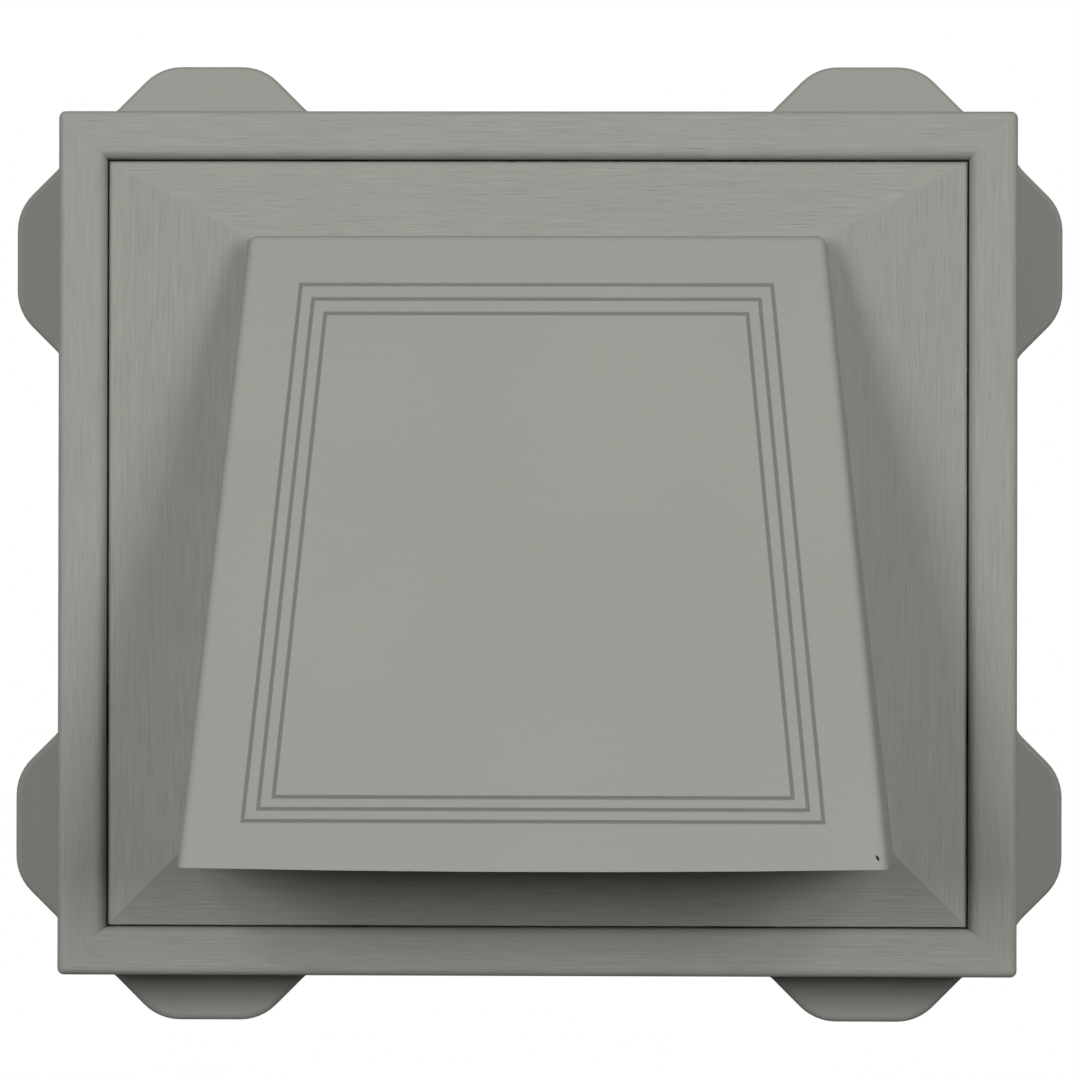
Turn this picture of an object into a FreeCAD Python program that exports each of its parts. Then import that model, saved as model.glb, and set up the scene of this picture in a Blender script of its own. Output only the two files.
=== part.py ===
import FreeCAD
import Part
import math
import os
from FreeCAD import Vector

# Wall vent cap for a dryer duct. A moulded body carries the nailing flange, the sloped face and the
# hood. A trim ring slides on round the body to cover the cut edge of the siding. A collar plate behind
# the hood carries the duct collar and a hinged backdraft damper.
#
# Millimetres. The origin is on the duct axis at the wall plane, +X right, +Y into the wall, +Z up.
# A depth is a distance out of the wall, towards -Y.

# Trim ring
ring_width = 221.5
ring_height = 199.7
ring_face = 11.0
ring_front = 30.0
ring_skirt = 17.0
ring_wall = 2.0
ring_lip = 5.0
ring_gap = 0.5
ring_corner_radius = 1.5
ring_outer_round = 2.0
ring_inner_round = 2.6

# Body walls and the sloped face between the ring and the hood
wall = 2.4
face_edge = 26.5
face_rise = 12.0
side_slope = 0.30
bottom_slope = 0.30
top_slope = 0.545

# Hood
hood_top_width = 131.0
hood_lip_width = 153.9
hood_top_height = 70.0
hood_lip_drop = 70.35
hood_top_depth = 43.5
hood_lip_depth = 89.0
hood_draft = 0.0875
hood_round = 2.4
lip_bow = 0.7

# Three grooves pressed in the hood's front panel
groove_count = 3
groove_side_inset = 13.1
groove_top_inset = 12.0
groove_bottom_inset = 10.45
groove_side_pitch = 3.1
groove_top_pitch = 3.5
groove_bottom_pitch = 2.7
groove_width = 0.95
groove_floor = 0.1
groove_depth = 0.55

# Nailing flange and its ears
flange_side_margin = 1.75
flange_end_margin = 1.15
flange_thickness = 2.4
flange_corner_radius = 5.0
flange_round = 1.6
ear_reach_side = 11.6
ear_reach_top = 12.2
ear_flat = 24.3
ear_tip_radius = 12.0
ear_root_radius = 8.0
ear_from_side = 34.6
ear_from_end = 33.9
nail_slot_width = 4.6
nail_slot_length = 13.0
nail_slot_inset = 4.6

# Ratchet grooves on the body and the ring's snap tongues
ratchet_count = 6
ratchet_pitch = 2.2
ratchet_start = 9.0
ratchet_length = 17.0
ratchet_depth = 0.7
snap_spread_x = 46.0
snap_spread_z = 40.0
tongue_width = 14.0
tongue_thickness = 1.4
tongue_set_back = 0.4
tongue_short = 0.6
hook_height = 2.0
hook_clearance = 0.15

# Collar plate
plate_back = 3.0
plate_thickness = 2.2
plate_gap = 0.4
plate_rim_height = 4.0
plate_rim_wall = 1.8
collar_diameter = 100.0
collar_wall = 2.0
collar_length = 45.0
collar_bevel = 1.5
seat_height = 5.0
rib_count = 5
rib_wall = 1.6
rib_height = 3.2
rib_reach = 16.0

# Screws that hold the plate to bosses in the body
boss_diameter = 7.6
boss_inset = 7.0
screw_diameter = 3.0
screw_length = 10.0
screw_head_diameter = 6.2
screw_head_height = 2.0
screw_head_bevel = 0.6
screw_recess_width = 0.9
screw_recess_length = 3.6
screw_recess_depth = 1.1
screw_hole_gap = 0.3
pilot_gap = 0.05
pilot_spare = 2.0

# Damper flap on its hinge rod
flap_overlap = 3.0
flap_thickness = 2.0
flap_gap = 0.3
flap_rib_gap = 2.5
flap_rib_wall = 1.6
flap_rib_height = 2.4
hinge_rise = 7.5
hinge_set_out = 3.8
knuckle_radius = 3.0
knuckle_length = 14.0
knuckle_gap = 0.5
lug_thickness = 4.0
lug_spread = 40.0
rod_diameter = 3.0
rod_head_diameter = 5.0
rod_head_length = 1.0
rod_lug_gap = 0.05
rod_flap_gap = 0.08

# How far a cut runs past what it cuts, and how close two places are when they count as one
over = 1.0
touch = 0.01

# Sizes that follow from the ones above
box_width = ring_width - 2 * (ring_face + ring_gap)
box_height = ring_height - 2 * (ring_face + ring_gap)
ring_back = ring_front - ring_skirt
flange_width = ring_width + 2 * flange_side_margin
flange_height = ring_height + 2 * flange_end_margin
ear_spread_x = flange_width / 2 - ear_from_side
ear_spread_z = flange_height / 2 - ear_from_end
cavity_width = box_width - 2 * wall
cavity_height = box_height - 2 * wall
plate_front = plate_back + plate_thickness
hood_height = hood_top_height + hood_lip_drop
hood_tilt = (hood_lip_depth - hood_top_depth) / hood_height
hood_taper = (hood_lip_width - hood_top_width) / 2 / hood_height
boss_x = cavity_width / 2 - boss_inset
boss_z = cavity_height / 2 - boss_inset
collar_radius = collar_diameter / 2
bore_radius = collar_radius - collar_wall
seat_depth = plate_front + seat_height
flap_back = seat_depth + flap_gap
flap_radius = collar_radius + flap_overlap
hinge_depth = plate_front + hinge_set_out
hinge_height = collar_radius + hinge_rise
Y_AXIS = Vector(0, 1, 0)
ORIGIN = Vector(0, 0, 0)


def block(width, height, back, front):
    """A block centred on the duct axis, between two depths."""
    return Part.makeBox(width, front - back, height, Vector(-width / 2, -front, -height / 2))


def rod_along_depth(radius, back, front, x=0.0, z=0.0):
    """A round bar along the depth, between two depths."""
    return Part.makeCylinder(radius, front - back, Vector(x, -back, z), Vector(0, -1, 0))


def rod_along_width(radius, left, right, depth, z):
    """A round bar from left to right at one depth and height."""
    return Part.makeCylinder(radius, right - left, Vector(left, -depth, z), Vector(1, 0, 0))


def plate_from(points, back, front):
    """A flat plate from its outline, given as (x, z) pairs, between two depths."""
    corners = [Vector(x, -back, z) for x, z in points]
    face = Part.Face(Part.makePolygon(corners + corners[:1]))
    return face.extrude(Vector(0, back - front, 0))


def bar_from(points, left, right):
    """A bar from its section, given as (depth, z) pairs, run from left to right."""
    corners = [Vector(left, -depth, z) for depth, z in points]
    face = Part.Face(Part.makePolygon(corners + corners[:1]))
    return face.extrude(Vector(right - left, 0, 0))


def near(a, b):
    return abs(a - b) < touch


def edges_where(shape, wanted):
    """The edges of a shape for which wanted(middle, direction) is true."""
    chosen = []
    for edge in shape.Edges:
        first, last = edge.Vertexes[0].Point, edge.Vertexes[-1].Point
        middle = edge.valueAt((edge.FirstParameter + edge.LastParameter) / 2)
        if wanted(middle, last - first):
            chosen.append(edge)
    return chosen


def round_edges(shape, radius, wanted):
    return shape.makeFillet(radius, edges_where(shape, wanted))


def bevel_edges(shape, size, wanted):
    return shape.makeChamfer(size, edges_where(shape, wanted))


def along_depth(direction):
    return near(direction.x, 0) and near(direction.z, 0)


def round_sides(shape, width, height, radius):
    """A block's four edges along the depth, rounded."""

    def corner(middle, direction):
        return along_depth(direction) and near(abs(middle.x), width / 2) and near(abs(middle.z), height / 2)

    return round_edges(shape, radius, corner)


def on_four_sides(make, half_width, half_height, spread_x, spread_z):
    """Two copies on each side of a feature that make(half) builds at the middle of the top side."""
    copies = []
    for turn in (0, 90, 180, 270):
        upright = turn % 180 == 90
        half = half_width if upright else half_height
        spread = spread_z if upright else spread_x
        for shift in (-spread, spread):
            copy = make(half)
            copy.translate(Vector(shift, 0, 0))
            copy.rotate(ORIGIN, Y_AXIS, turn)
            copies.append(copy)
    return copies


def make_ear(half, reach):
    """One ear of the flange: a tab with flanks at 45 degrees and a rounded tip."""
    root = half - ear_root_radius
    foot = ear_flat / 2 + reach + ear_root_radius
    outline = [(-foot, root), (-ear_flat / 2, half + reach), (ear_flat / 2, half + reach), (foot, root)]
    ear = plate_from(outline, 0, flange_thickness)

    def tip(middle, direction):
        return along_depth(direction) and near(middle.z, half + reach)

    return round_edges(ear, ear_tip_radius, tip)


def make_nail_slot(half):
    """A nail slot that runs along its side of the flange."""
    z = half - nail_slot_inset
    radius = nail_slot_width / 2
    end = nail_slot_length / 2 - radius
    slot = plate_from([(-end, z - radius), (end, z - radius), (end, z + radius), (-end, z + radius)],
                      -over, flange_thickness + over)
    for x in (-end, end):
        slot = slot.fuse(rod_along_depth(radius, -over, flange_thickness + over, x, z))
    return slot.removeSplitter()


def round_rim(flange):
    """Rounds the flange's front rim in three flats that lie on an arc."""
    middle_flat = (2 - math.sqrt(2)) * flange_round
    outer_flat = (math.tan(math.pi / 8) - math.tan(math.pi / 16)) * flange_round

    def at_depth(depth):
        return lambda middle, direction: near(middle.y, -depth) and not along_depth(direction)

    flange = bevel_edges(flange, middle_flat, at_depth(flange_thickness))
    flange = bevel_edges(flange, outer_flat, at_depth(flange_thickness))
    return bevel_edges(flange, outer_flat, at_depth(flange_thickness - middle_flat))


def make_flange():
    """The nailing flange: a plate with two ears and two nail slots on every side."""
    half_width, half_height = flange_width / 2, flange_height / 2
    flange = block(flange_width, flange_height, 0, flange_thickness)
    flange = round_sides(flange, flange_width, flange_height, flange_corner_radius)

    def ear(half):
        reach = ear_reach_top if near(half, half_height) else ear_reach_side
        return make_ear(half, reach)

    flange = flange.fuse(on_four_sides(ear, half_width, half_height, ear_spread_x, ear_spread_z))
    flange = flange.removeSplitter()

    def root(middle, direction):
        on_side = near(abs(middle.x), half_width) or near(abs(middle.z), half_height)
        at_corner = abs(middle.x) > half_width - 2 * flange_corner_radius
        at_corner = at_corner and abs(middle.z) > half_height - 2 * flange_corner_radius
        return along_depth(direction) and on_side and not at_corner

    flange = round_edges(flange, ear_root_radius, root)

    flange = round_rim(flange)
    slots = on_four_sides(make_nail_slot, half_width, half_height, ear_spread_x, ear_spread_z)
    return flange.cut(slots)


def face_block():
    """The body's box with its four front edges sloped back to a hipped face, as one solid."""
    face = block(box_width, box_height, 0, face_edge + face_rise)
    slopes = (top_slope, side_slope, bottom_slope, side_slope)
    halves = (box_height / 2, box_width / 2, box_height / 2, box_width / 2)
    for number, (slope, half) in enumerate(zip(slopes, halves)):
        inner = half - face_rise / slope - over
        front = face_edge + face_rise + slope * over
        section = [(face_edge - slope * over, half + over), (front, inner), (front, half + over)]
        waste = bar_from(section, -box_width, box_width)
        waste.rotate(ORIGIN, Y_AXIS, 90 * number)
        face = face.cut(waste)
    return face


def hood_front(z):
    """Depth of the hood's front panel at a height."""
    return hood_top_depth + (hood_top_height - z) * hood_tilt


def hood_half_width(depth, z):
    """Half the hood's width at a depth and height. The side walls lean out towards the wall."""
    at_front = hood_top_width / 2 + (hood_top_height - z) * hood_taper
    return at_front + (hood_front(z) - depth) * hood_draft


def below_lip(z_far):
    """The space under the hood's lip, which bows down a little in the middle."""
    half = hood_lip_width / 2
    radius = (half ** 2 + lip_bow ** 2) / (2 * lip_bow)
    reach = box_width / 2
    z_end = radius - lip_bow - hood_lip_drop - math.sqrt(radius ** 2 - reach ** 2)
    left, right = Vector(-reach, 0, z_end), Vector(reach, 0, z_end)
    low_left, low_right = Vector(-reach, 0, z_far), Vector(reach, 0, z_far)
    lip = Part.Arc(left, Vector(0, 0, -hood_lip_drop - lip_bow), right).toShape()
    rest = Part.makePolygon([right, low_right, low_left, left]).Edges
    return Part.Face(Part.Wire([lip] + rest)).extrude(Vector(0, -hood_lip_depth - wall, 0))


def hood_block(inset):
    """The hood as one solid from the wall plane to its front panel, with its walls moved in by inset."""
    side_tilt = hood_taper + hood_tilt * hood_draft
    side_inset = inset * math.sqrt(1 + hood_draft ** 2 + side_tilt ** 2)
    front_inset = inset * math.sqrt(1 + hood_tilt ** 2)
    z_top = hood_top_height - inset
    z_low = -hood_lip_drop - 4 * lip_bow
    section = [(0, z_low), (hood_front(z_low) - front_inset, z_low), (hood_front(z_top) - front_inset, z_top),
               (0, z_top)]
    hood = bar_from(section, -box_width / 2, box_width / 2)
    low, high, front = z_low - over, z_top + over, hood_lip_depth + 2 * wall
    corners = [(-over, low), (front, low), (front, high), (-over, high)]
    for sign in (-1, 1):
        side = [Vector(sign * (hood_half_width(d, z) - side_inset), -d, z) for d, z in corners]
        waste = Part.Face(Part.makePolygon(side + side[:1])).extrude(Vector(sign * box_width, 0, 0))
        hood = hood.cut(waste)
    if inset == 0:
        hood = round_hood(hood)
    return hood.cut(below_lip(2 * z_low))


def round_hood(hood):
    """Rounds the front panel's sides and top, and the two edges where the top wall meets the sides."""

    def rounded(middle, direction):
        on_front = near(-middle.y, hood_front(middle.z))
        at_bottom = middle.z < -hood_lip_drop
        at_top = near(middle.z, hood_top_height) and along_top_corner(direction)
        return (on_front and not at_bottom) or at_top

    def along_top_corner(direction):
        return abs(direction.y) > abs(direction.x)

    return round_edges(hood, hood_round, rounded)


def make_groove(number):
    """One groove of the hood's front panel: a narrow frame with sloped flanks along the panel's outline."""
    slant = math.sqrt(1 + hood_tilt ** 2)
    length = hood_height * slant
    top = groove_top_inset + number * groove_top_pitch
    bottom = length - groove_bottom_inset - number * groove_bottom_pitch
    side = groove_side_inset + number * groove_side_pitch

    inward = Vector(0, 1, -hood_tilt) / slant

    def outline(grow, sunk):
        corners = []
        for sign, along in ((-1, top - grow), (1, top - grow), (1, bottom + grow), (-1, bottom + grow)):
            z = hood_top_height - along / slant
            half = hood_half_width(hood_front(z), z) - side + grow
            corners.append(Vector(sign * half, -hood_front(z), z) + inward * sunk)
        return Part.makePolygon(corners + corners[:1])

    above = groove_width - groove_floor / 2
    outer = Part.makeLoft([outline(above, -groove_depth), outline(groove_floor / 2, groove_depth)], True, True)
    inner = Part.makeLoft([outline(-above, -groove_depth), outline(-groove_floor / 2, groove_depth)], True, True)
    return outer.cut(inner)


def make_ratchet(half):
    """A row of notches in the body's side that the ring's hooks count along."""
    notches = []
    for i in range(ratchet_count):
        depth = ratchet_start + i * ratchet_pitch
        end = depth + ratchet_pitch / 2
        section = [(depth, half + over), (depth, half - ratchet_depth), (end, half), (end, half + over)]
        notches.append(bar_from(section, -ratchet_length / 2, ratchet_length / 2))
    return Part.makeCompound(notches)


def at_bosses(make):
    """One copy of a feature at each of the four screw bosses."""
    return [make(x, z) for x in (-boss_x, boss_x) for z in (-boss_z, boss_z)]


def make_vent_body():
    """The body, moulded in one piece with its flange and hood, and open at the back and under the hood."""
    face = face_block()
    cavity = face.copy()
    cavity.translate(Vector(0, wall, 0))
    cavity = cavity.common(block(cavity_width, cavity_height, -2 * wall, hood_lip_depth))
    body = face.fuse(hood_block(0)).cut(cavity).cut(hood_block(wall))

    inside = block(cavity_width, cavity_height, -2 * wall, flange_thickness + wall)
    body = body.fuse(make_flange().cut(inside))

    def boss(x, z):
        column = rod_along_depth(boss_diameter / 2, plate_front, face_edge + face_rise, x, z)
        pilot_far = plate_back + screw_length + pilot_spare
        pilot = rod_along_depth(screw_diameter / 2 + pilot_gap, plate_front - over, pilot_far, x, z)
        return column.common(face).cut(pilot)

    body = body.fuse(at_bosses(boss))
    ratchets = on_four_sides(make_ratchet, box_width / 2, box_height / 2, snap_spread_x, snap_spread_z)
    body = body.cut(ratchets)
    return body.cut([make_groove(number) for number in range(groove_count)]).removeSplitter()


def make_tongue(half):
    """A snap tongue of the ring, with a hook at its back end that faces the body."""
    inner = half + ring_gap + tongue_set_back
    outer = inner + tongue_thickness
    tip = half + hook_clearance
    back = ring_back + tongue_short
    root = ring_front - ring_wall
    section = [(root, inner), (back + hook_height, inner), (back + hook_height / 4, tip), (back, tip),
               (back, outer), (root, outer)]
    return bar_from(section, -tongue_width / 2, tongue_width / 2)


def make_trim_ring():
    """The trim ring: a hollow frame with a deep outer skirt, a short inner lip and eight snap tongues."""
    opening_width, opening_height = ring_width - 2 * ring_face, ring_height - 2 * ring_face
    frame = block(ring_width, ring_height, ring_back, ring_front)
    frame = round_sides(frame, ring_width, ring_height, ring_corner_radius)

    def on_front(middle, direction):
        return near(middle.y, -ring_front)

    frame = round_edges(frame, ring_outer_round, on_front)
    frame = frame.cut(block(opening_width, opening_height, ring_back - over, ring_front + over))

    def at_opening(middle, direction):
        inside = abs(middle.x) <= opening_width / 2 + touch and abs(middle.z) <= opening_height / 2 + touch
        return inside and near(middle.y, -ring_front)

    frame = round_edges(frame, ring_inner_round, at_opening)
    shrink = 2 * ring_wall
    hollow = block(ring_width - shrink, ring_height - shrink, ring_back - over, ring_front - ring_wall)
    core = block(opening_width + shrink, opening_height + shrink, ring_front - ring_lip, ring_front)
    frame = frame.cut(hollow.cut(core))
    tongues = on_four_sides(make_tongue, box_width / 2, box_height / 2, snap_spread_x, snap_spread_z)
    return frame.fuse(tongues).removeSplitter()


def make_lug(x):
    """A lug of the collar plate that holds one end of the hinge rod."""
    left, right = x - lug_thickness / 2, x + lug_thickness / 2
    low, high = hinge_height - knuckle_radius, hinge_height + knuckle_radius
    back = plate_front - plate_thickness / 2
    foot = [(back, low), (back, high), (hinge_depth, high), (hinge_depth, low)]
    lug = bar_from(foot, left, right)
    lug = lug.fuse(rod_along_width(knuckle_radius, left, right, hinge_depth, hinge_height))
    hole_radius = rod_diameter / 2 + rod_lug_gap
    hole = rod_along_width(hole_radius, left - over, right + over, hinge_depth, hinge_height)
    return lug.cut(hole)


def make_rib(turn):
    """A stiffening rib below the hinge, from the collar out along the plate's front."""
    rib = Part.makeBox(rib_reach + collar_wall, rib_height + plate_thickness / 2, rib_wall,
                       Vector(bore_radius + collar_wall / 2, -plate_front - rib_height, -rib_wall / 2))
    rib.rotate(ORIGIN, Y_AXIS, turn)
    return rib


def make_collar_plate():
    """The collar plate: a rimmed plate that closes the body's back, with the duct collar through it."""
    width, height = cavity_width - 2 * plate_gap, cavity_height - 2 * plate_gap
    rim_front = plate_front + plate_rim_height
    plate = block(width, height, plate_back, rim_front)
    shrink = 2 * plate_rim_wall
    plate = plate.cut(block(width - shrink, height - shrink, plate_front, rim_front + over))
    plate = plate.fuse(rod_along_depth(collar_radius, -collar_length, seat_depth))
    plate = plate.fuse([make_lug(-lug_spread), make_lug(lug_spread)])
    turns = [180 / (rib_count - 1) * i for i in range(rib_count)]
    plate = plate.fuse([make_rib(turn) for turn in turns])

    def screw_hole(x, z):
        radius = screw_diameter / 2 + screw_hole_gap
        return rod_along_depth(radius, plate_back - over, plate_front + over, x, z)

    def back_end(middle, direction):
        return near(middle.y, collar_length)

    plate = plate.cut(at_bosses(screw_hole)).removeSplitter()
    plate = bevel_edges(plate, collar_bevel, back_end)
    bore = rod_along_depth(bore_radius, -collar_length - over, seat_depth + over)
    return plate.cut(bore).removeSplitter()


def make_plate_screws():
    """Four pan-head screws through the plate's corners into the body's bosses."""

    def screw(x, z):
        head_back = plate_back - screw_head_height
        shape = rod_along_depth(screw_head_diameter / 2, head_back, plate_back, x, z)

        def rim(middle, direction):
            return near(middle.y, -head_back)

        shape = bevel_edges(shape, screw_head_bevel, rim)
        shape = shape.fuse(rod_along_depth(screw_diameter / 2, plate_back, plate_back + screw_length, x, z))
        long, short = screw_recess_length, screw_recess_width
        for width, height in ((long, short), (short, long)):
            slot = block(width, height, head_back - over, head_back + screw_recess_depth)
            slot.translate(Vector(x, 0, z))
            shape = shape.cut(slot)
        return shape.removeSplitter()

    return Part.makeCompound(at_bosses(screw))


def make_damper_flap():
    """The damper flap: a disc that closes on the collar's front edge, hung from two knuckles."""
    flap = rod_along_depth(flap_radius, flap_back, flap_back + flap_thickness)
    outer = lug_spread - lug_thickness / 2 - knuckle_gap
    tab = [(-outer, 0), (outer, 0), (outer, hinge_height), (-outer, hinge_height)]
    flap = flap.fuse(plate_from(tab, flap_back, flap_back + flap_thickness))
    rib_outer = bore_radius - flap_rib_gap
    rib_back, rib_front = flap_back - flap_rib_height, flap_back + flap_thickness / 2
    rib = rod_along_depth(rib_outer, rib_back, rib_front)
    rib = rib.cut(rod_along_depth(rib_outer - flap_rib_wall, rib_back - over, rib_front + over))
    flap = flap.fuse(rib)
    for left in (-outer, outer - knuckle_length):
        right = left + knuckle_length
        flap = flap.fuse(rod_along_width(knuckle_radius, left, right, hinge_depth, hinge_height))
    gap_half = outer - knuckle_length
    gap_back, gap_front = hinge_depth - 2 * knuckle_radius, flap_back + 2 * flap_thickness
    gap_low, gap_top = collar_radius + hinge_rise / 2, hinge_height + 2 * knuckle_radius
    gap = [(gap_back, gap_low), (gap_back, gap_top), (gap_front, gap_top), (gap_front, gap_low)]
    flap = flap.cut(bar_from(gap, -gap_half, gap_half))
    hole_radius = rod_diameter / 2 + rod_flap_gap
    hole = rod_along_width(hole_radius, -outer - over, outer + over, hinge_depth, hinge_height)
    return flap.cut(hole).removeSplitter()


def make_damper_rod():
    """The hinge rod, headed at both ends outside the lugs."""
    end = lug_spread + lug_thickness / 2
    rod = rod_along_width(rod_diameter / 2, -end, end, hinge_depth, hinge_height)
    for left in (-end - rod_head_length, end):
        right = left + rod_head_length
        rod = rod.fuse(rod_along_width(rod_head_diameter / 2, left, right, hinge_depth, hinge_height))
    return rod.removeSplitter()


def main():
    os.makedirs("parts", exist_ok=True)
    nodes = {
        "vent_body": make_vent_body(),
        "trim_ring": make_trim_ring(),
        "collar_plate": make_collar_plate(),
        "plate_screws": make_plate_screws(),
        "damper_flap": make_damper_flap(),
        "damper_rod": make_damper_rod(),
    }
    for name, shape in nodes.items():
        shape.exportStep(f"parts/{name}.step")
        box = shape.BoundBox
        print(name, len(shape.Solids), "solids", round(shape.Volume), "mm3", shape.isValid(),
              [round(v, 2) for v in (box.XMin, box.XMax, box.YMin, box.YMax, box.ZMin, box.ZMax)])


if __name__ == "__main__":
    main()
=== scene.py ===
# %% [markdown]
# # A dryer vent cap, dressed over its CAD frame
# The cap is four mouldings and a little steel. A body carries the hood and a nailing flange, a trim ring
# slides on round it, and behind them a plate with the duct collar holds a damper flap on a steel rod.
# The solids come from the CAD frame and keep their shapes and places. This lesson gives them their
# finishes, adds the marks that a mould leaves, and photographs the cap under soft studio light.
#
# The frame is loaded before anything else, because every piece here is placed by it.

# %% Load the frame
import math
import bpy
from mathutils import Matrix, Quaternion, Vector


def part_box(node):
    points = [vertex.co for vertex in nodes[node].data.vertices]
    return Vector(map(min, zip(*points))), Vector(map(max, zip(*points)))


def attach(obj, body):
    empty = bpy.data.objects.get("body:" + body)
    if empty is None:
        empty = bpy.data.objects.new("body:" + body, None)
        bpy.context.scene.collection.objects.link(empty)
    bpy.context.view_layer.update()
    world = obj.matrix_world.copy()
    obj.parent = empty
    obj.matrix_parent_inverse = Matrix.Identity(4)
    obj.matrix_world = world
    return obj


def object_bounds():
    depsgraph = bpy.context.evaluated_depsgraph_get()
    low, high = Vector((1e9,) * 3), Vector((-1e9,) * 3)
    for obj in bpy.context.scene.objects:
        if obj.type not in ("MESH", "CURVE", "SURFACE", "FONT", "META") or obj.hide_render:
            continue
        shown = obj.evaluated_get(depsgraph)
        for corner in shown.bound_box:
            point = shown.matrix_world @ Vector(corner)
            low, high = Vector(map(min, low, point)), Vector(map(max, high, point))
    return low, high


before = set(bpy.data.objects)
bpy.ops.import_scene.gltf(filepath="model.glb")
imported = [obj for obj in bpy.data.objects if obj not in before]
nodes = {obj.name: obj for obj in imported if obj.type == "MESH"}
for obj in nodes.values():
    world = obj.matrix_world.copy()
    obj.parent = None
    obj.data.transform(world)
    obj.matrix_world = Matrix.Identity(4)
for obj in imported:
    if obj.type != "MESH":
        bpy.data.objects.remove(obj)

MM = 0.001
cad_low, cad_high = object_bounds()
print("CAD nodes:", ", ".join(sorted(nodes)))
print("CAD box in mm:", [round(side / MM, 1) for side in cad_high - cad_low])

# %% [markdown]
# ## Where the mouldings change direction
# The grain on the cap is embossed by the mould, and it runs along each member of the ring and along each
# panel of the sloped face, as if they were boards mitred at the corners. To know which board a point is
# on, the materials need a few sizes. The ring's outline is read from the frame. What its box doesn't show
# is written again: how far in the body starts, and where the sloped face begins and how it rises.

# %% Sizes for the finishes
ring_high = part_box("trim_ring")[1]
ring_half_width, ring_half_height = ring_high.x, ring_high.z
ring_to_body = 11.5 * MM
body_half_width = ring_half_width - ring_to_body
body_half_height = ring_half_height - ring_to_body
face_edge, face_rise = 26.5 * MM, 12.0 * MM
side_slope, bottom_slope, top_slope = 0.30, 0.30, 0.545
print("ring", round(2 * ring_half_width / MM, 1), "by", round(2 * ring_half_height / MM, 1), "mm")
print("body", round(2 * body_half_width / MM, 1), "by", round(2 * body_half_height / MM, 1), "mm")

# %% [markdown]
# ## Shader sums written as Python
# A material that knows mitres and panels needs a good deal of arithmetic. Drawn as a node graph it would
# fill a wall, so a small class wraps a socket and lets Python's own signs add the Math nodes. The
# reflected forms are there too, so that `1 - mask` reads as it should. One more method, `add`, makes any
# other node: first its settings, then the values or links of its sockets.

# %% A socket that can be reckoned with
class Wire:
    """A socket in a node tree. Sums on it add Math nodes."""

    def __init__(self, tree, socket=None):
        self.tree = tree
        self.socket = socket

    def add(self, kind, settings, values, output=0):
        """A new node with its settings and its sockets' values or links, and one of its outputs."""
        node = self.tree.nodes.new(kind)
        for name, setting in settings.items():
            setattr(node, name, setting)
        for name, value in values.items():
            if isinstance(value, Wire):
                self.tree.links.new(value.socket, node.inputs[name])
            else:
                node.inputs[name].default_value = value
        return Wire(self.tree, node.outputs[output])

    def sum(self, operation, first, second=0.0):
        return self.add("ShaderNodeMath", {"operation": operation}, {0: first, 1: second})

    def __add__(self, other):
        return self.sum("ADD", self, other)

    def __radd__(self, other):
        return self.sum("ADD", other, self)

    def __sub__(self, other):
        return self.sum("SUBTRACT", self, other)

    def __rsub__(self, other):
        return self.sum("SUBTRACT", other, self)

    def __mul__(self, other):
        return self.sum("MULTIPLY", self, other)

    def __rmul__(self, other):
        return self.sum("MULTIPLY", other, self)

    def __truediv__(self, other):
        return self.sum("DIVIDE", self, other)

    def __rtruediv__(self, other):
        return self.sum("DIVIDE", other, self)

    def __abs__(self):
        return self.sum("ABSOLUTE", self)

    def least(self, other):
        return self.sum("MINIMUM", self, other)

    def root(self):
        return self.sum("SQRT", self)

    def feed(self, node, name):
        self.tree.links.new(self.socket, node.inputs[name])


print("Wire makes Math nodes for +, -, *, / and abs")

# %% [markdown]
# ## A few words for the graph
# Colours and vectors don't go through Math nodes, which would turn them grey or cut them to one number.
# They get Mix and Combine nodes, wrapped here as plain functions. `step` is a soft threshold, and it is
# what every mask below is made of.

# %% Helpers for masks, noise and colour
def split(vector):
    """The three numbers of a vector."""
    return [vector.add("ShaderNodeSeparateXYZ", {}, {0: vector}, axis) for axis in range(3)]


def join(x, y, z):
    """A vector from three numbers, of which the first is a wire."""
    return x.add("ShaderNodeCombineXYZ", {}, {0: x, 1: y, 2: z})


def step(value, low, high):
    """0 below low and 1 above high, with a smooth change between them."""
    return value.add("ShaderNodeMapRange", {"interpolation_type": "SMOOTHSTEP"},
                     {"Value": value, "From Min": low, "From Max": high})


def noise(vector, detail=2.0, roughness=0.5):
    """Soft noise about 0.5 with features about one unit across."""
    return vector.add("ShaderNodeTexNoise", {"noise_dimensions": "3D"},
                      {"Vector": vector, "Scale": 1.0, "Detail": detail, "Roughness": roughness})


def blend(mask, first, second):
    """One colour where the mask is 0 and another where it is 1."""
    return mask.add("ShaderNodeMix", {"data_type": "RGBA"}, {0: mask, 6: first, 7: second}, 2)


def choose(mask, first, second):
    """One number where the mask is 0 and another where it is 1."""
    return mask.add("ShaderNodeMix", {"data_type": "FLOAT"}, {0: mask, 2: first, 3: second}, 0)


def shade(colour, amount):
    """A colour as four numbers, made lighter or darker by a share."""
    return tuple(channel * amount for channel in colour) + (1.0,)


def new_material(name):
    """A material, its shader and the place on the piece as three wires, in metres."""
    material = bpy.data.materials.new(name)
    material.use_nodes = True
    shader = material.node_tree.nodes["Principled BSDF"]
    place = Wire(material.node_tree).add("ShaderNodeTexCoord", {}, {}, "Object")
    return material, shader, split(place)


def relief(height, shader):
    """A height in metres, given to a shader as bump."""
    bump = height.add("ShaderNodeBump", {}, {"Strength": 1.0, "Distance": 1.0, "Height": height})
    bump.feed(shader, "Normal")


print("helpers ready")

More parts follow.
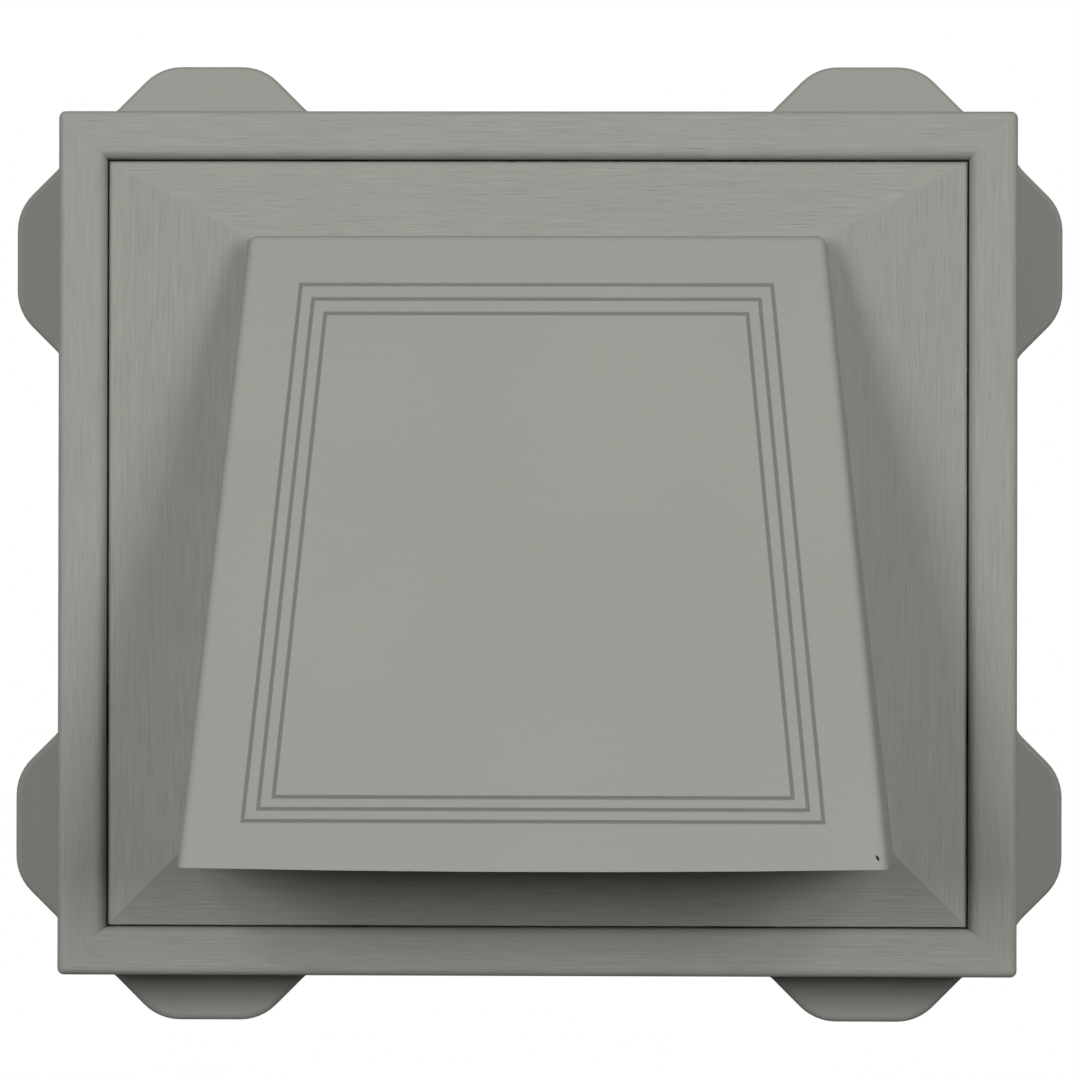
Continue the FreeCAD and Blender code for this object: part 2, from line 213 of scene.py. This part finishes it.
# %% [markdown]
# ## Embossed wood grain
# Siding accessories carry a shallow wood grain so that they match the boards. Up close it is fine lines
# one to two and a half centimetres long and a third to three quarters of a millimetre wide, with sharper
# pores between them. It shows best where light comes from one side, so the grain is a height in metres.
# Noise that is stretched along the board gives the lines, and a slower noise moves them sideways a
# little, so that none is ruled straight. The same lines come back as a tone from 0 to 1, which paints
# the grain's tops paler and its bottoms darker, as painted light and shade of the relief.

# %% Grain along a board
line_length, line_width, line_height = 24.0 * MM, 0.75 * MM, 0.06 * MM
hair_length, hair_width, hair_height = 11.0 * MM, 0.32 * MM, 0.06 * MM
pore_length, pore_width, pore_depth = 8.0 * MM, 0.4 * MM, 0.05 * MM
pore_low, pore_high = 0.63, 0.75
wander, wander_length, wander_width = 1.5 * MM, 60 * MM, 6 * MM
line_share, hair_share = 0.4, 0.6
hair_seed, pore_seed = 3.0, 9.0


def board_grain(along, across, seed):
    """The height of a board's grain, its tone about 0.5 and its pores from 0 to 1."""
    slow = noise(join(along / wander_length, across / wander_width, seed), 1.0)
    lane = across + (slow - 0.5) * wander
    line = noise(join(along / line_length, lane / line_width, seed), 2.0)
    hair = noise(join(along / hair_length, lane / hair_width, seed + hair_seed), 1.0)
    pore = noise(join(along / pore_length, lane / pore_width, seed + pore_seed), 1.0)
    pore = step(pore, pore_low, pore_high)
    height = (line - 0.5) * line_height + (hair - 0.5) * hair_height - pore * pore_depth
    return height, line * line_share + hair * hair_share, pore


print("lines", line_length / MM, "by", line_width / MM, "mm,", line_height / MM, "mm high")

# %% [markdown]
# ## Sage-grey plastic
# The body and the ring are moulded in one colour, a matte grey with a breath of green. The colour drifts
# by a percent or two over the part, and painted light and shade make the grain's tops and bottoms differ
# from it by up to a tenth.
# There is full grain on the ring and the sloped face, a trace of it on the hood, and a fine matte texture
# everywhere. One function makes the finish, and each moulding hands it two masks: where the grain stands
# upright and how strong it is.

# %% The finish that both mouldings share
sage = (0.318, 0.333, 0.296)
# The grain's painted shade and painted light as shares of the sage colour, and the pores' colour.
grain_painted_shade, grain_painted_light, pore_dark = 0.89, 1.11, 0.9
grain_gain, drift_gain, pore_gain = 2.0, 0.3, 0.4
drift_size = 45 * MM
matte_size, matte_height = 0.35 * MM, 0.006 * MM
matte_rough, fine_rough, pore_rough = 0.68, 0.08, 0.06
sheen = 0.05
upright_seed = 7.0


def sage_plastic(shader, x, y, z, upright, strength):
    """Colour, roughness and relief of the grained plastic. Returns the colour and the height to add to."""
    along = choose(upright, x, z)
    across = choose(upright, z, x) + y
    grain, tone, pore = board_grain(along, across, upright * upright_seed)
    drift = noise(join(x / drift_size, y / drift_size, z / drift_size), 1.0)
    # Painted light and shade of the grain: its tops are made paler and its bottoms darker.
    tone = (tone - 0.5) * strength * grain_gain + (drift - 0.5) * drift_gain + 0.5
    colour = blend(tone, shade(sage, grain_painted_shade), shade(sage, grain_painted_light))
    colour = blend(pore * strength * pore_gain, colour, shade(sage, pore_dark))
    fine = noise(join(x / matte_size, y / matte_size, z / matte_size), 1.0)
    rough = matte_rough + fine * fine_rough + pore * strength * pore_rough
    rough.feed(shader, "Roughness")
    shader.inputs["Specular IOR Level"].default_value = sheen
    return colour, grain * strength + fine * matte_height


mitre_core, mitre_fade = 0.25 * MM, 1.3 * MM


def mitre_line(offset):
    """1 on the soft line where two boards meet, from the distance across it."""
    return 1.0 - step(abs(offset), mitre_core, mitre_fade)


print("sage grey", sage)

# %% [markdown]
# ## The trim ring's four members
# The ring is cut like a picture frame: two members lie and two stand, and they meet on 45 degree mitres.
# A point is on a standing member where it is further out sideways than up or down, measured from the
# corner. The grain fades out over the last millimetre before the mitre, as a mould's grain does, and a
# narrow soft step inside that smooth line turns its direction without a jagged edge.

# %% Ring finish
mitre_softness = 0.1 * MM


def ring_finish():
    material, shader, (x, y, z) = new_material("sage_plastic_ring")
    beyond = (abs(x) - ring_half_width) - (abs(z) - ring_half_height)
    upright = step(beyond, -mitre_softness, mitre_softness)
    colour, height = sage_plastic(shader, x, y, z, upright, 1.0 - mitre_line(beyond))
    colour.feed(shader, "Base Color")
    relief(height, shader)
    return material


ring_material = ring_finish()
print(ring_material.name, len(ring_material.node_tree.nodes), "nodes")

# %% [markdown]
# ## The body's hipped face and hood
# Four sloped panels rise from the ring to the hood like a hipped roof. The panel that a point is on is
# the one with the lowest rise there, so the same sum that gives the face's depth gives its hips. What
# stands further out than the face is the hood, which is almost smooth. A small nick near the hood's
# lower right corner is coloured nearly black and sunk a little. The three grooves in the hood's front
# get painted shade: their colour is painted darker towards their bottoms, in place of the shade that
# falls into them. How deep a point lies in a groove is its distance behind the plane of the hood's front.

# %% Body finish
hood_grain, hidden_grain = 0.12, 0.2
hood_start, hood_full = 0.3 * MM, 0.9 * MM
hidden_start, hidden_full = 2 * MM, 3 * MM
hood_top, hood_lip = 70.0 * MM, -70.35 * MM
hood_top_depth, hood_lip_depth = 43.5 * MM, 89.0 * MM
hood_top_half, hood_lip_half = 65.5 * MM, 76.95 * MM
hood_slope = (hood_lip_depth - hood_top_depth) / (hood_top - hood_lip)
hood_taper = (hood_lip_half - hood_top_half) / (hood_top - hood_lip)
groove_start, groove_depth = 0.05 * MM, 0.55 * MM
groove_margin, groove_fade = 6.0 * MM, 7.0 * MM
# Share of the colour left at a groove's bottom, as painted shade.
groove_shade = 0.7
nick_x, nick_z = 74.6 * MM, -67.9 * MM
nick_long, nick_short = 0.62 * MM, 0.3 * MM
nick_turn = math.radians(30)
nick_depth = 0.2 * MM
nick_core, nick_edge = 0.5, 1.3
nick_dark = 0.08


def body_finish():
    material, shader, (x, y, z) = new_material("sage_plastic_body")
    side_rise = (body_half_width - abs(x)) * side_slope
    end_rise = ((body_half_height - z) * top_slope).least((body_half_height + z) * bottom_slope)
    across_hip = (end_rise - side_rise) / side_slope
    upright = step(across_hip, -mitre_softness, mitre_softness)
    proud = (0.0 - y) - face_edge - side_rise.least(end_rise).least(face_rise)
    hood = step(proud, hood_start, hood_full)
    behind = 1.0 - step(0.0 - y, face_edge - hidden_full, face_edge - hidden_start)
    upright = upright * (1.0 - hood)
    strength = (1.0 - hood * (1.0 - hood_grain)) * (1.0 - behind * (1.0 - hidden_grain))
    strength = strength * (1.0 - mitre_line(across_hip))
    colour, height = sage_plastic(shader, x, y, z, upright, strength)

    # A small spot near the hood's lower right corner, coloured nearly black and sunk a little.
    across = ((x - nick_x) * math.cos(nick_turn) + (z - nick_z) * math.sin(nick_turn)) / nick_short
    down = ((z - nick_z) * math.cos(nick_turn) - (x - nick_x) * math.sin(nick_turn)) / nick_long
    nick = (1.0 - step(across * across + down * down, nick_core, nick_edge)) * hood
    colour = blend(nick, colour, shade(sage, nick_dark))

    # Painted shade in the three grooves: the colour goes darker with depth behind the hood's front plane.
    below_top = hood_top - z
    sunk = y + hood_top_depth + below_top * hood_slope
    to_side = hood_top_half + below_top * hood_taper - abs(x)
    from_rim = to_side.least(below_top).least(z - hood_lip)
    groove = step(sunk, groove_start, groove_depth) * (1.0 - step(sunk, 2 * groove_depth, 3 * groove_depth))
    groove = groove * step(from_rim, groove_margin, groove_fade)
    colour = blend(groove, colour, shade(sage, groove_shade))
    colour.feed(shader, "Base Color")
    relief(height - nick * nick_depth, shader)
    return material


body_material = body_finish()
print(body_material.name, len(body_material.node_tree.nodes), "nodes")

# %% [markdown]
# ## Plain plastic for the hidden mouldings
# The collar plate and the damper are never seen from the street, so their mould is only sandblasted and
# the plastic is left a lighter, cooler grey. Where the melt flowed out from the collar it leaves faint
# arcs, which are rings of noise about the duct's axis. The surface has a finer and shinier texture than
# the grained mouldings.

# %% Plate and damper finish
pale_grey = (0.45, 0.455, 0.44)
pale_dark, pale_light = 0.94, 1.05
flow_width, flow_depth, flow_length = 6 * MM, 20 * MM, 60 * MM
cloud_size = 30 * MM
flow_share, cloud_share = 0.6, 0.4
blast_size, blast_height, flow_height = 0.5 * MM, 0.012 * MM, 0.02 * MM
plain_rough, blast_rough, flow_rough = 0.38, 0.12, 0.06


def plain_finish():
    material, shader, (x, y, z) = new_material("plain_plastic")
    radius = (x * x + z * z).root()
    flow = noise(join(radius / flow_width, y / flow_depth, x / flow_length), 2.0)
    cloud = noise(join(x / cloud_size, y / cloud_size, z / cloud_size), 2.0)
    tone = flow * flow_share + cloud * cloud_share
    colour = blend(tone, shade(pale_grey, pale_dark), shade(pale_grey, pale_light))
    colour.feed(shader, "Base Color")
    blast = noise(join(x / blast_size, y / blast_size, z / blast_size), 2.0)
    (plain_rough + blast * blast_rough + flow * flow_rough).feed(shader, "Roughness")
    relief(blast * blast_height + flow * flow_height, shader)
    return material


plain_material = plain_finish()
print(plain_material.name, len(plain_material.node_tree.nodes), "nodes")

# %% [markdown]
# ## Zinc-plated steel
# The hinge rod and the four screws are steel with a thin zinc plating. Zinc is bluish and cloudy more
# than bright, and drawn wire keeps faint lines along its length. Noise stretched along the rod gives the
# lines, and a slower noise gives the cloudy plating, which mostly changes the roughness.

# %% Rod and screw finish
zinc = (0.62, 0.63, 0.62)
zinc_dark, zinc_pale = 0.86, 1.08
plating_size = 2.5 * MM
drawn_length, drawn_width, drawn_height = 6 * MM, 0.12 * MM, 0.004 * MM
zinc_rough, plating_rough, drawn_rough = 0.24, 0.22, 0.08


def steel_finish():
    material, shader, (x, y, z) = new_material("plated_steel")
    cloud = noise(join(x / plating_size, y / plating_size, z / plating_size), 3.0)
    line = noise(join(x / drawn_length, y / drawn_width, z / drawn_width), 1.0)
    colour = blend(cloud, shade(zinc, zinc_dark), shade(zinc, zinc_pale))
    colour.feed(shader, "Base Color")
    shader.inputs["Metallic"].default_value = 1.0
    (zinc_rough + cloud * plating_rough + line * drawn_rough).feed(shader, "Roughness")
    relief(line * drawn_height, shader)
    return material


steel_material = steel_finish()
print(steel_material.name, len(steel_material.node_tree.nodes), "nodes")

# %% [markdown]
# ## Dressing the solids
# A CAD node is never moved or reshaped here. Its material slots are emptied and get the new finish.

# %% Finishes on the CAD nodes
finishes = {
    "vent_body": body_material,
    "trim_ring": ring_material,
    "collar_plate": plain_material,
    "damper_flap": plain_material,
    "damper_rod": steel_material,
    "plate_screws": steel_material,
}
for name, material in finishes.items():
    nodes[name].data.materials.clear()
    nodes[name].data.materials.append(material)
    print(name, "is", material.name)

# %% [markdown]
# ## Marks of the ejector pins
# A moulding is pushed off its core by steel pins, and each pin leaves a shallow round mark on the hidden
# side. They are a sure sign of an injection moulding, and a viewer who turns the cap round expects them.
# Each one is a disc with a raised rim, as a pin that sits a hair low leaves it. It is modelled once per
# size from a circle, by extrude and inset, and then copied. Every mark faces the wall, along +Y.

# %% One pin mark, modelled by hand
pin_sides = 40
mark_sunk = 0.3 * MM
mark_proud = 0.15 * MM
dish_share = 0.8
rim_width = 0.35 * MM


def pin_mark(name, radius, material):
    """A round mark at the origin whose face looks along +Y. It starts inside the wall that carries it."""
    bpy.ops.object.select_all(action="DESELECT")
    bpy.ops.mesh.primitive_circle_add(vertices=pin_sides, radius=radius, fill_type="NGON",
                                      rotation=(-math.pi / 2, 0, 0), location=(0, -mark_sunk, 0))
    mark = bpy.context.object
    mark.name = name
    bpy.ops.object.transform_apply(location=True, rotation=True, scale=True)
    bpy.ops.object.mode_set(mode="EDIT")
    bpy.ops.mesh.select_all(action="SELECT")
    bpy.ops.mesh.extrude_region_move(TRANSFORM_OT_translate={"value": (0, mark_sunk + mark_proud, 0)})
    bpy.ops.mesh.inset(thickness=rim_width)
    bpy.ops.mesh.extrude_region_move(TRANSFORM_OT_translate={"value": (0, -dish_share * mark_proud, 0)})
    bpy.ops.mesh.select_all(action="SELECT")
    bpy.ops.mesh.normals_make_consistent(inside=False)
    bpy.ops.object.mode_set(mode="OBJECT")
    mark.data.materials.append(material)
    return mark


def copy_marks(name, radius, places, material, body):
    """One object with a mark at each place. The first mark is modelled and the rest are copies of it."""
    first = pin_mark(name, radius, material)
    marks = [first]
    for place in places[1:]:
        copy = first.copy()
        copy.data = first.data.copy()
        bpy.context.collection.objects.link(copy)
        copy.location = place
        marks.append(copy)
    first.location = places[0]
    bpy.ops.object.select_all(action="DESELECT")
    for mark in marks:
        mark.select_set(True)
    bpy.context.view_layer.objects.active = first
    bpy.ops.object.join()
    bpy.ops.object.transform_apply(location=True, rotation=True, scale=True)
    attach(first, body)
    print(name, len(places), "marks,", len(first.data.polygons), "faces, on", body)
    return first


# %% [markdown]
# The plate has a ring of eight pins about the collar, where it needs the push. The damper has four
# between its stiffening rib and its middle. The ring has them in the trough between its skirt and its
# inner lip, three to a side.

# %% Pin marks on the plate, the damper and the ring
plate_pins, plate_pin, plate_circle, plate_back = 8, 3.2 * MM, 71 * MM, -3.0 * MM
damper_pins, damper_pin, damper_circle, damper_back = 4, 2.6 * MM, 28 * MM, -10.5 * MM
ring_pin, ring_inset, ring_spread_x, ring_spread_z = 1.8 * MM, 5.5 * MM, 78 * MM, 66 * MM
ring_trough = -28.0 * MM


def round_the_duct(count, radius, y):
    turns = [2 * math.pi * i / count for i in range(count)]
    return [Vector((radius * math.cos(turn), y, radius * math.sin(turn))) for turn in turns]


def round_the_ring(inset, spread_x, spread_z, y):
    lying = [Vector((x, y, sign * (ring_half_height - inset)))
             for sign in (-1, 1) for x in (-spread_x, 0, spread_x)]
    standing = [Vector((sign * (ring_half_width - inset), y, z))
                for sign in (-1, 1) for z in (-spread_z, 0, spread_z)]
    return lying + standing


copy_marks("plate_pin_marks", plate_pin, round_the_duct(plate_pins, plate_circle, plate_back),
           plain_material, "cap")
copy_marks("damper_pin_marks", damper_pin, round_the_duct(damper_pins, damper_circle, damper_back),
           plain_material, "damper")
copy_marks("ring_pin_marks", ring_pin, round_the_ring(ring_inset, ring_spread_x, ring_spread_z, ring_trough),
           ring_material, "ring")

# %% [markdown]
# ## The studio
# The cap hangs before plain white. The world is white where the camera, a reflection or a clear piece
# looks at it, and gives only a trace of fill where it lights the part. A pale floor lies a little below
# the cap and takes its shadow. Light that bounces up from a white floor would wash out the shade under
# the hood, so the floor is pale to the eye and greyer to the light that leaves it. It fades out into the
# white world, and from below it is clear, so that the space under the hood can be looked into.

# %% Floor and world
floor_drop = 50 * MM
floor_side = 800 * MM
fade_start, fade_end = 140 * MM, 330 * MM
floor_seen, floor_bounce, floor_glow = 0.95, 0.15, 0.50
fill_strength = 0.02


def background_ray(tree):
    """1 for rays that show the background, and 0 for rays that carry its light."""
    camera_ray = Wire(tree).add("ShaderNodeLightPath", {}, {}, "Is Camera Ray")
    outputs = camera_ray.socket.node.outputs
    others = [Wire(tree, outputs[name]) for name in ("Is Glossy Ray", "Is Transmission Ray")]
    return (camera_ray + others[0] + others[1]).least(1.0)


def make_floor():
    bpy.ops.object.select_all(action="DESELECT")
    bpy.ops.mesh.primitive_plane_add(size=floor_side, location=(0, 0, cad_low.z - floor_drop))
    floor = bpy.context.object
    floor.name = "floor"
    material, shader, (x, y, z) = new_material("pale_floor")
    seen = background_ray(material.node_tree)
    blend(seen, shade((1, 1, 1), floor_bounce), shade((1, 1, 1), floor_seen)).feed(shader, "Base Color")
    blend(seen, shade((1, 1, 1), 0.0), shade((1, 1, 1), floor_glow)).feed(shader, "Emission Color")
    shader.inputs["Emission Strength"].default_value = 1.0
    shader.inputs["Roughness"].default_value = 0.9
    shader.inputs["Specular IOR Level"].default_value = 0.0
    from_below = x.add("ShaderNodeNewGeometry", {}, {}, "Backfacing")
    (step((x * x + y * y).root(), fade_end, fade_start) * (1.0 - from_below)).feed(shader, "Alpha")
    floor.data.materials.append(material)
    return floor


def make_world():
    world = bpy.data.worlds.new("white_studio")
    world.use_nodes = True
    bpy.context.scene.world = world
    background = world.node_tree.nodes["Background"]
    choose(background_ray(world.node_tree), fill_strength, 1.0).feed(background, "Strength")
    background.inputs["Color"].default_value = (1, 1, 1, 1)


floor = make_floor()
make_world()
print("floor at", round(floor.location.z / MM, 1), "mm, fill", fill_strength)

# %% [markdown]
# ## Lamps
# The shadows beside the hood are soft and the same on both sides, the space under the hood is dark, and
# every rounded edge turns dark at the outline. That is light from the front only: a soft box on each side
# of the camera, a little above it, and a smaller and weaker one over each. Two more stand behind the
# part. They don't reach anything that faces the camera, and they show the collar and the flange to a
# viewer who walks round. Each kind of box is a turn, a rise, a size in metres and a power in watts.

# %% Soft boxes
lamp_distance = 1.2
lamp_target = Vector((0, -30 * MM, 0))
lamp_kinds = {
    "box": (32, 8.7, 0.35, 5.75),
    "high_box": (35, 32, 0.3, 2.55),
    "back_box": (168, 8, 0.5, 6.0),
}


def soft_box(name, turn, rise, size, power):
    """A square lamp at a turn to the right of the camera and a rise above it, in degrees."""
    turn, rise = math.radians(turn), math.radians(rise)
    away = Vector((math.cos(rise) * math.sin(turn), -math.cos(rise) * math.cos(turn), math.sin(rise)))
    bpy.ops.object.light_add(type="AREA", location=lamp_target + away * lamp_distance)
    lamp = bpy.context.object
    lamp.name = name
    lamp.rotation_euler = (-away).to_track_quat("-Z", "Y").to_euler()
    lamp.data.shape = "SQUARE"
    lamp.data.size = size
    lamp.data.energy = power
    lamp.visible_camera = False
    print(name, "at", [round(c, 2) for c in lamp.location], "m,", power, "W")


for side, sign in (("left", -1), ("right", 1)):
    for kind, (turn, rise, size, power) in lamp_kinds.items():
        soft_box(side + "_" + kind, sign * turn, rise, size, power)

# %% [markdown]
# ## The camera
# The photograph was taken nearly square on, from about a metre away and a hair to the right, with a long
# lens. The place and the lens come from a fit of the ring, the hood and the flange's ears to the picture.

# %% Camera
camera_place = Vector((13.5 * MM, -978.6 * MM, -1.3 * MM))
camera_aim = Vector((0.3 * MM, 0, 0.9 * MM))
camera_lens = 137.2
camera_roll = math.radians(0.113)

bpy.ops.object.camera_add(location=camera_place)
camera = bpy.context.object
camera.rotation_mode = "QUATERNION"
look = (camera_aim - camera_place).to_track_quat("-Z", "Y")
camera.rotation_quaternion = look @ Quaternion((0, 0, 1), camera_roll)
camera.data.lens = camera_lens
bpy.context.scene.camera = camera
bpy.context.scene.view_settings.view_transform = "Standard"
print("camera", round((camera_aim - camera_place).length, 3), "m away, lens", camera_lens)
